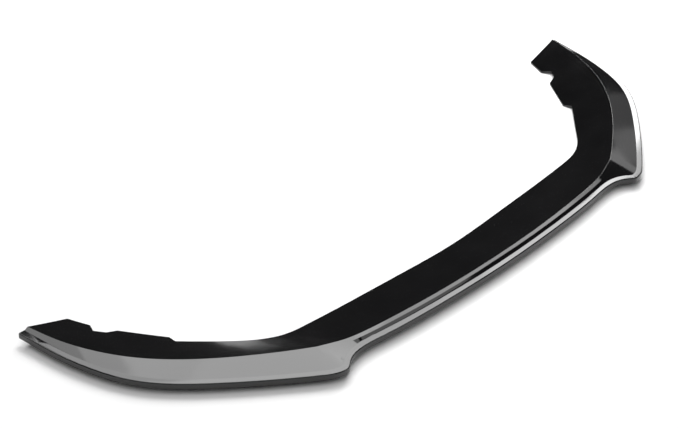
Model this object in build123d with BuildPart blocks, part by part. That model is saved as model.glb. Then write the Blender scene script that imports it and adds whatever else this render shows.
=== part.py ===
from build123d import *
import os
from math import cos, radians, sin

# Front splitter lip: one thermoformed ABS sheet that wraps round the foot of a car's front bumper.
# Millimetres. X across the car, -Y forwards, +Z up. The origin lies on the centre line, on the
# ground that the rear edge stands on, half way between the fangs and the wings' ends.

# Levels above that ground
sheet = 4.0  # thickness of the formed sheet
rim_foot_level = 15.0  # lower edge of the outer rim
flange_level = 28.0  # top of the narrow level flange inside the rim
crease_level = 34.5  # the crease across the middle
corner_level = 38.0  # the crease's corner above the fang, the highest point of the lip
wing_end_level = 33.0  # the crease at the wing's end
deck_foot_level = 1.0  # where the slope of the deck would end, just behind the rear edge

# Plan. Its points are measured from the middle of the rim's front.
front_to_middle = 267.5  # from there back to the origin
flange_width = 14.0
shoulder_width = 7.5  # facet in front of the crease, on the centre line
shoulder_end_width = 10.0  # and where it runs out, short of the fang
shoulder_drop = 0.7

# Plan of the rim: across the middle, round the fang, then back along the wing
fang_start = (424.0, 23.4)  # where the rim starts its bend forward to the fang
fang_tip = (484.0, -1.0)
fang_tip_heading = 2.0
rim_end = (876.2, 546.0)  # a little past the wing's end, which is cut square
rim_middle_points = [(0, 0), (173, 4.7), (356, 19.2), fang_start, (450, 17.2), (466, 7.6), fang_tip]
rim_wing_points = [fang_tip, (531.5, 18), (701, 150.5), (813, 279.5), (852, 388), rim_end]
rim_end_heading = 83.0

# Plan of the crease, with its corner above the fang
crease_turn = (424.0, 59.5)  # where the crease starts to climb to its corner
crease_turn_heading = 16.0
crease_corner = (487.0, 80.5)
crease_corner_heading = 21.0
crease_middle_points = [(0, 27), (150, 30.3), (285, 40), (360, 48), crease_turn]
crease_wing_points = [crease_corner, (578, 139), (704, 241.5), (779, 333), (823, 421), (854.5, 546)]
crease_wing_heading = 30.0
crease_end_heading = 80.0

# Plan of the line that the deck slopes down to, just behind the rear edge
deck_turn = (436.0, 184.0)
deck_turn_heading = 9.0
deck_corner = (494.0, 206.0)
deck_corner_heading = 30.0
deck_middle_points = [(0, 156), (240, 168.5), deck_turn]
deck_wing_points = [deck_corner, (548, 240), (643, 344), (703, 433), (751, 534), (764, 570)]
deck_end_heading = 70.0

# Plan of the rear edge: the long reach and its corner, then the step, the tab, the notch and the end
rear_points = [(0, 148), (165, 155.7), (302, 164.7), (440, 176), (482, 181.5), (512, 193), (547, 218)]
rear_end_heading = 43.0
step_inner = (653.5, 316.0)
tab_front = (649.5, 339.5)
tab_rear = (710.0, 429.0)
notch_front = (734.0, 435.0)
notch_floor = (751.0, 456.5)
notch_rear = (739.5, 480.0)
end_inner = (759.0, 530.0)
end_outer = (935.0, 539.0)  # past the rim, on the line of the wing's end
trim_margin = 60.0  # how far the trimming cut reaches behind the lip
trim_radius = 4.0  # rounding of the rear edge's corners

# Rounded edges of the forming
rim_radius = 2.5
crease_radius = 1.5
cove_radius = 4.0  # between the slopes and the flange

stations = 40  # points along a line that is worked out from another
touching = 0.01  # an edge this near a line lies on it
shoulder_shares = (0.0, 0.25, 0.5, 0.75, 0.9)  # places along the crease where the shoulder keeps its width


def heading(degrees):
    """Direction in plan, in degrees from the X axis."""
    return (cos(radians(degrees)), sin(radians(degrees)))


def plan_line(points, start, end):
    """Smooth line in plan through points, with a heading at each end."""
    spots = [(x, y - front_to_middle) for x, y in points]
    with BuildLine() as line:
        Spline(*spots, tangents=[heading(start), heading(end)])
    return line.edge()


def beside(line, start_distance, end_distance):
    """The line moved sideways in plan, towards the rear."""
    spots = []
    for station in range(stations + 1):
        share = station / stations
        along = line % share
        distance = start_distance + (end_distance - start_distance) * share
        spots.append(line @ share + Vector(-along.Y, along.X) * distance)
    with BuildLine() as moved:
        Spline(*spots)
    return moved.edge()


def at_level(line, level):
    """The plan line lifted to its level."""
    return line.moved(Location((0, 0, level)))


def climbing(line, start_level, end_level):
    """The plan line lifted to a level that changes along it, evenly at its two ends."""
    spots = []
    for station in range(stations + 1):
        share = station / stations
        eased = share * share * (3 - 2 * share)
        spots.append(line @ share + Vector(0, 0, start_level + (end_level - start_level) * eased))
    with BuildLine() as lifted:
        Spline(*spots)
    return lifted.edge()


def strip(front, rear, level):
    """Level skin between two plan lines."""
    with BuildSketch(Plane.XY.offset(level), mode=Mode.PRIVATE) as skin:
        with BuildLine():
            add(front)
            Line(front @ 1, rear @ 1)
            add(rear)
            Line(rear @ 0, front @ 0)
        make_face()
    return skin.sketch


# Plan lines of the right half
rim_middle = plan_line(rim_middle_points, 0, fang_tip_heading)
rim_wing = plan_line(rim_wing_points, fang_tip_heading, rim_end_heading)
crease_middle_plan = plan_line(crease_middle_points, 0, crease_turn_heading)
crease_fang_plan = plan_line([crease_turn, crease_corner], crease_turn_heading, crease_corner_heading)
crease_wing_plan = plan_line(crease_wing_points, crease_wing_heading, crease_end_heading)
deck_middle_plan = plan_line(deck_middle_points, 0, deck_turn_heading)
deck_fang_plan = plan_line([deck_turn, deck_corner], deck_turn_heading, deck_corner_heading)
deck_wing_plan = plan_line(deck_wing_points, deck_corner_heading, deck_end_heading)

# The same lines in space
foot_plans = [beside(rim, flange_width, flange_width) for rim in (rim_middle, rim_wing)]
foot_front, foot_wing = [at_level(line, flange_level) for line in foot_plans]
fang_share = rim_middle.param_at_point(Vector(fang_start[0], fang_start[1] - front_to_middle))
foot_middle = foot_front.trim(0.0, fang_share)
foot_fang = foot_front.trim(fang_share, 1.0)
crease_middle = at_level(crease_middle_plan, crease_level)
crease_fang = climbing(crease_fang_plan, crease_level, corner_level)
crease_wing = climbing(crease_wing_plan, corner_level, wing_end_level)
deck_middle = at_level(deck_middle_plan, deck_foot_level)
deck_fang = at_level(deck_fang_plan, deck_foot_level)
deck_wing = at_level(deck_wing_plan, deck_foot_level)

# The shoulder runs out on the straight line where the fang's side face begins
side_front = foot_middle @ 1
side_rear = crease_middle @ 1
shoulder_end = side_rear + (side_front - side_rear) * (shoulder_end_width / (side_front - side_rear).length)
shoulder_run = at_level(beside(crease_middle_plan, -shoulder_width, -shoulder_end_width),
                        crease_level - shoulder_drop)
with BuildLine() as shoulder_line:
    Spline(*[shoulder_run @ share for share in shoulder_shares], shoulder_end)
shoulder = shoulder_line.edge()

with BuildPart() as splitter_lip:
    # Flange and rim: a bent strip, open below
    for rim, foot in zip((rim_middle, rim_wing), foot_plans):
        extrude(strip(rim, foot, flange_level), amount=rim_foot_level - flange_level)
        hollow = strip(beside(rim, sheet, sheet), foot, flange_level - sheet)
        extrude(hollow, amount=rim_foot_level - flange_level, mode=Mode.SUBTRACT)
    # Step, shoulder, fang side, wing band and deck: sloping skins with the sheet's thickness below
    for front, rear in (
        (foot_middle, shoulder),
        (shoulder, crease_middle),
        (foot_fang, crease_fang),
        (foot_wing, crease_wing),
        (crease_middle, deck_middle),
        (crease_fang, deck_fang),
        (crease_wing, deck_wing),
    ):
        extrude(Face.make_surface_from_curves(front, rear), amount=sheet, dir=(0, 0, -1))
    # Rear edge with its tab and notch, and the level cut that it stands on
    with BuildSketch(Plane((0, -front_to_middle, 0))):
        with BuildLine():
            Spline(*rear_points, tangents=[heading(0), heading(rear_end_heading)])
            behind = end_outer[1] + trim_margin
            FilletPolyline(rear_points[-1], step_inner, tab_front, tab_rear, notch_front, notch_floor,
                           notch_rear, end_inner, end_outer, radius=trim_radius)
            Polyline(end_outer, (end_outer[0], behind), (0, behind), rear_points[0])
        make_face()
    extrude(amount=corner_level * 2, both=True, mode=Mode.SUBTRACT)
    split(bisect_by=Plane.XY, keep=Keep.TOP)
    # Forming radii
    for followed, radius in (
        ((foot_middle, foot_fang, foot_wing), cove_radius),
        ((crease_middle, crease_fang, crease_wing), crease_radius),
        ([at_level(line, flange_level) for line in (rim_middle, rim_wing)], rim_radius),
    ):
        corners = [edge for edge in splitter_lip.edges()
                   if min(line.distance_to(edge @ 0.5) for line in followed) < touching]
        fillet(corners, radius=radius)
    mirror(about=Plane.YZ)

splitter_lip.part.label = "splitter_lip"
os.makedirs("parts", exist_ok=True)
export_step(splitter_lip.part, "parts/splitter_lip.step")
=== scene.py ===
import math

import bmesh
import bpy
from mathutils import Matrix, Vector


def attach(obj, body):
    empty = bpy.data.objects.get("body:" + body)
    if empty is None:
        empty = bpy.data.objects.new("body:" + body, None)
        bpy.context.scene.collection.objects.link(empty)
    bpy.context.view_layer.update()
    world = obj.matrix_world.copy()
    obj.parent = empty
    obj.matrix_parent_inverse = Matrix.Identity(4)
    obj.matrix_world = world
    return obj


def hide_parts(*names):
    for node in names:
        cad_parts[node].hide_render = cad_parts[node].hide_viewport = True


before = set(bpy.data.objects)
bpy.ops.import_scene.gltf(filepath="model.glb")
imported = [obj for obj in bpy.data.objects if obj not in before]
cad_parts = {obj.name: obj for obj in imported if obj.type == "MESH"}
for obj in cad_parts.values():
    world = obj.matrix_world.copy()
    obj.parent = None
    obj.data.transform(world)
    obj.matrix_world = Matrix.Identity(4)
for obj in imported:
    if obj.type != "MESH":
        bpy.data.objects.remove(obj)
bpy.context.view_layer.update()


# The formed sheet.
# One sheet of black ABS, drawn over a mould and trimmed along its rear edge, is the whole lip. The
# solid's faces are joined up and shaded as the mould formed them: smooth over slopes and radii, and
# crisp along the shoulder and the fangs' ridges, where two broad faces meet.
lip_name = "splitter_lip"
mm = 0.001
join_distance = 0.01 * mm
cut_angle = math.radians(40)  # an edge this sharp is a cut one
fold_angle = math.radians(10)  # the least that shows as a fold between two broad faces
narrowest_face = 2.0 * mm  # a narrower face is part of a rounding

bpy.ops.object.select_all(action="DESELECT")
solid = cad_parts[lip_name]
solid.select_set(True)
bpy.context.view_layer.objects.active = solid
bpy.ops.object.duplicate()
lip = bpy.context.object
lip.name = "formed_sheet"
lip.data.name = "formed_sheet"
lip.parent = None
for key in [k for k in lip.keys() if k.startswith("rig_")]:
    del lip[key]
bpy.ops.object.mode_set(mode="EDIT")
bpy.ops.mesh.select_all(action="SELECT")
bpy.ops.mesh.remove_doubles(threshold=join_distance)
bpy.ops.mesh.customdata_custom_splitnormals_clear()
bpy.ops.mesh.faces_shade_smooth()
bpy.ops.mesh.mark_sharp(clear=True)
bpy.ops.object.mode_set(mode="OBJECT")
faces = bmesh.new()
faces.from_mesh(lip.data)
for edge in faces.edges:
    # How far the narrower of the edge's two faces reaches from it
    reach = min(2 * face.calc_area() / edge.calc_length() for face in edge.link_faces)
    angle = edge.calc_face_angle()
    edge.smooth = angle < fold_angle or (angle < cut_angle and reach < narrowest_face)
faces.to_mesh(lip.data)
faces.free()
weigh = lip.modifiers.new("weigh_normals", "WEIGHTED_NORMAL")
weigh.keep_sharp = True
bpy.ops.object.modifier_apply(modifier=weigh.name)


def linear(code):
    """Colour of an sRGB hex code, as the shader wants it."""
    values = [int(code[i:i + 2], 16) / 255 for i in (0, 2, 4)]
    return [v / 12.92 if v <= 0.04045 else ((v + 0.055) / 1.055) ** 2.4 for v in values] + [1]


def add_node(tree, kind, links=(), **settings):
    """One shader node, with its settings and inputs. A link is (input, output socket of another)."""
    node = tree.nodes.new(kind)
    for name, value in settings.items():
        if name in node.inputs:
            node.inputs[name].default_value = value
        else:
            setattr(node, name, value)
    for name, source in links:
        tree.links.new(source, node.inputs[name])
    return node


# Gloss black ABS: a deep black with a faint cloudiness in its gloss, so that long reflections run
# soft at their edges, and a fine orange peel that breaks up the highlights close to.
abs_black = bpy.data.materials.new("gloss_black_abs")
abs_black.use_nodes = True
tree = abs_black.node_tree
shader = tree.nodes["Principled BSDF"]
shader.inputs["IOR"].default_value = 1.53
cloud_size = 90 * mm
cloud_low = 0.3  # between these two values of the clouds, the colour and the gloss change
cloud_high = 0.7
glossy_roughness = 0.06
cloudy_roughness = 0.10
wave_size = 50 * mm
wave_depth = 0.03 * mm
peel_size = 4 * mm
peel_depth = 0.003 * mm
place = add_node(tree, "ShaderNodeTexCoord").outputs["Object"]
clouds = add_node(tree, "ShaderNodeTexNoise", [("Vector", place)], Scale=1 / cloud_size, Detail=3.0)
waves = add_node(tree, "ShaderNodeTexNoise", [("Vector", place)], Scale=1 / wave_size, Detail=1.0)
peel = add_node(tree, "ShaderNodeTexNoise", [("Vector", place)], Scale=1 / peel_size, Detail=2.0)
colour = add_node(tree, "ShaderNodeValToRGB", [("Fac", clouds.outputs["Fac"])])
colour.color_ramp.elements[0].position = cloud_low
colour.color_ramp.elements[0].color = linear("060607")
colour.color_ramp.elements[1].position = cloud_high
colour.color_ramp.elements[1].color = linear("0b0b0c")
gloss = add_node(tree, "ShaderNodeMapRange", [("Value", clouds.outputs["Fac"])],
                 **{"From Min": cloud_low, "From Max": cloud_high,
                    "To Min": glossy_roughness, "To Max": cloudy_roughness})
wavy = add_node(tree, "ShaderNodeBump", [("Height", waves.outputs["Fac"])],
                Strength=1.0, Distance=wave_depth)
peeled = add_node(tree, "ShaderNodeBump",
                  [("Height", peel.outputs["Fac"]), ("Normal", wavy.outputs["Normal"])],
                  Strength=1.0, Distance=peel_depth)
tree.links.new(colour.outputs["Color"], shader.inputs["Base Color"])
tree.links.new(gloss.outputs["Result"], shader.inputs["Roughness"])
tree.links.new(peeled.outputs["Normal"], shader.inputs["Normal"])

lip.data.materials.clear()
lip.data.materials.append(abs_black)
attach(lip, "root")
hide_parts(lip_name)


# The studio.
# A plain pale floor in a dark room. Soft boxes stand side by side behind the lip, where its strips and
# bands mirror them, brighter towards the right. A broad box above the camera whitens the floor.
floor_size = 24
bpy.ops.object.select_all(action="DESELECT")
bpy.ops.mesh.primitive_plane_add(size=floor_size)
floor = bpy.context.object
floor.name = "floor"
pale = bpy.data.materials.new("pale_floor")
pale.use_nodes = True
matt = pale.node_tree.nodes["Principled BSDF"]
matt.inputs["Base Color"].default_value = linear("f0f0f0")
matt.inputs["Roughness"].default_value = 0.9
matt.inputs["Specular IOR Level"].default_value = 0.0
floor.data.materials.append(pale)

world = bpy.data.worlds.new("studio")
bpy.context.scene.world = world
world.use_nodes = True
room = world.node_tree.nodes["Background"]
room.inputs["Color"].default_value = (1, 1, 1, 1)
room.inputs["Strength"].default_value = 0.055


def soft_box(name, stand, left, right, low, high, radiance):
    """A soft box that faces the lip from its stand: azimuth, elevation and turn in degrees, and the
    distance. Its four sides are given by how far they lie from the line to the lip."""
    azimuth, elevation, turn = [math.radians(angle) for angle in stand[:3]]
    distance = stand[3]
    away = Vector((math.sin(azimuth) * math.cos(elevation), math.cos(azimuth) * math.cos(elevation),
                   math.sin(elevation)))
    sideways = Vector((math.cos(azimuth), -math.sin(azimuth), 0))
    rising = sideways.cross(away)
    along = sideways * math.cos(turn) + rising * math.sin(turn)
    across = rising * math.cos(turn) - sideways * math.sin(turn)
    data = bpy.data.lights.new(name, "AREA")
    data.shape = "RECTANGLE"
    data.size = right - left
    data.size_y = high - low
    data.energy = radiance * math.pi * data.size * data.size_y
    lamp = bpy.data.objects.new(name, data)
    bpy.context.scene.collection.objects.link(lamp)
    middle = away * distance + along * (left + right) / 2 + across * (low + high) / 2
    facing = Matrix((along, -across, away)).transposed().to_4x4()
    lamp.matrix_world = Matrix.Translation(middle) @ facing


# Stands: azimuth, elevation and turn in degrees, then the distance in metres
wall_stand = (50, 45, -40, 2.5)
front_stand = (153, 30, 0, 3.0)
fill_stand = (-120, 62, 0, 4.0)

# Wall of boxes behind the lip: left, right, low and high sides in metres, then the radiance
wall = {
    "far_left": (-5.00, -2.10, -0.60, 0.10, 3.4),
    "left": (-2.10, -1.60, -0.30, 0.44, 4.7),
    "band": (-1.60, -0.20, -0.30, 0.44, 6.1),
    "band_top": (-1.60, 0.30, 0.44, 1.30, 6.6),
    "fang_top": (-0.60, 0.12, 1.30, 2.08, 6.8),
    "overhead": (-0.60, 0.35, 2.10, 4.00, 1.8),
    "left_flange": (-1.25, -0.55, -0.75, -0.30, 4.2),
    "flange": (-0.20, 0.14, -0.30, 0.22, 5.7),
    "flange_bright": (0.14, 0.34, -0.30, 0.22, 6.6),
    "flange_brighter": (0.34, 0.80, -0.30, 0.22, 7.8),
    "flange_brightest": (0.80, 1.00, -0.30, 0.14, 10.2),
    "shoulder": (-0.20, 0.80, 0.22, 0.44, 4.4),
    "shoulder_end": (0.80, 1.16, 0.16, 0.44, 2.3),
    "right_fang": (1.00, 1.24, -0.02, 0.14, 5.0),
    "right_flange": (1.00, 1.34, -0.70, -0.02, 14.0),
    "right_band": (1.16, 1.40, 0.16, 0.46, 1.7),
    "right_fall": (1.40, 1.60, 0.06, 0.26, 1.0),
    "right_end": (1.40, 1.60, -0.22, 0.06, 0.4),
}
for name, sides in wall.items():
    soft_box(name + "_box", wall_stand, *sides)
soft_box("front_box", front_stand, -0.45, 0.65, -0.60, 0.90, 1.5)
soft_box("fill_box", fill_stand, -2.2, 2.2, -2.2, 2.2, 1.3)

# Camera at the photograph's viewing angle, in metres and radians
camera_place = (-2.3000, -1.9328, 2.1288)
camera_yaw = 0.8194
camera_pitch = 0.6126
camera_roll = 0.0278
focal_pixels = 1646
picture_width = 680
sensor = 36.0
camera_data = bpy.data.cameras.new("camera")
camera_data.sensor_width = sensor
camera_data.lens = focal_pixels / picture_width * sensor
camera = bpy.data.objects.new("camera", camera_data)
bpy.context.scene.collection.objects.link(camera)
camera.matrix_world = (Matrix.Translation(camera_place)
                       @ Matrix.Rotation(-camera_yaw, 4, "Z")
                       @ Matrix.Rotation(math.pi / 2 - camera_pitch, 4, "X")
                       @ Matrix.Rotation(camera_roll, 4, "Z"))
bpy.context.scene.camera = camera
bpy.context.scene.view_settings.view_transform = "Standard"
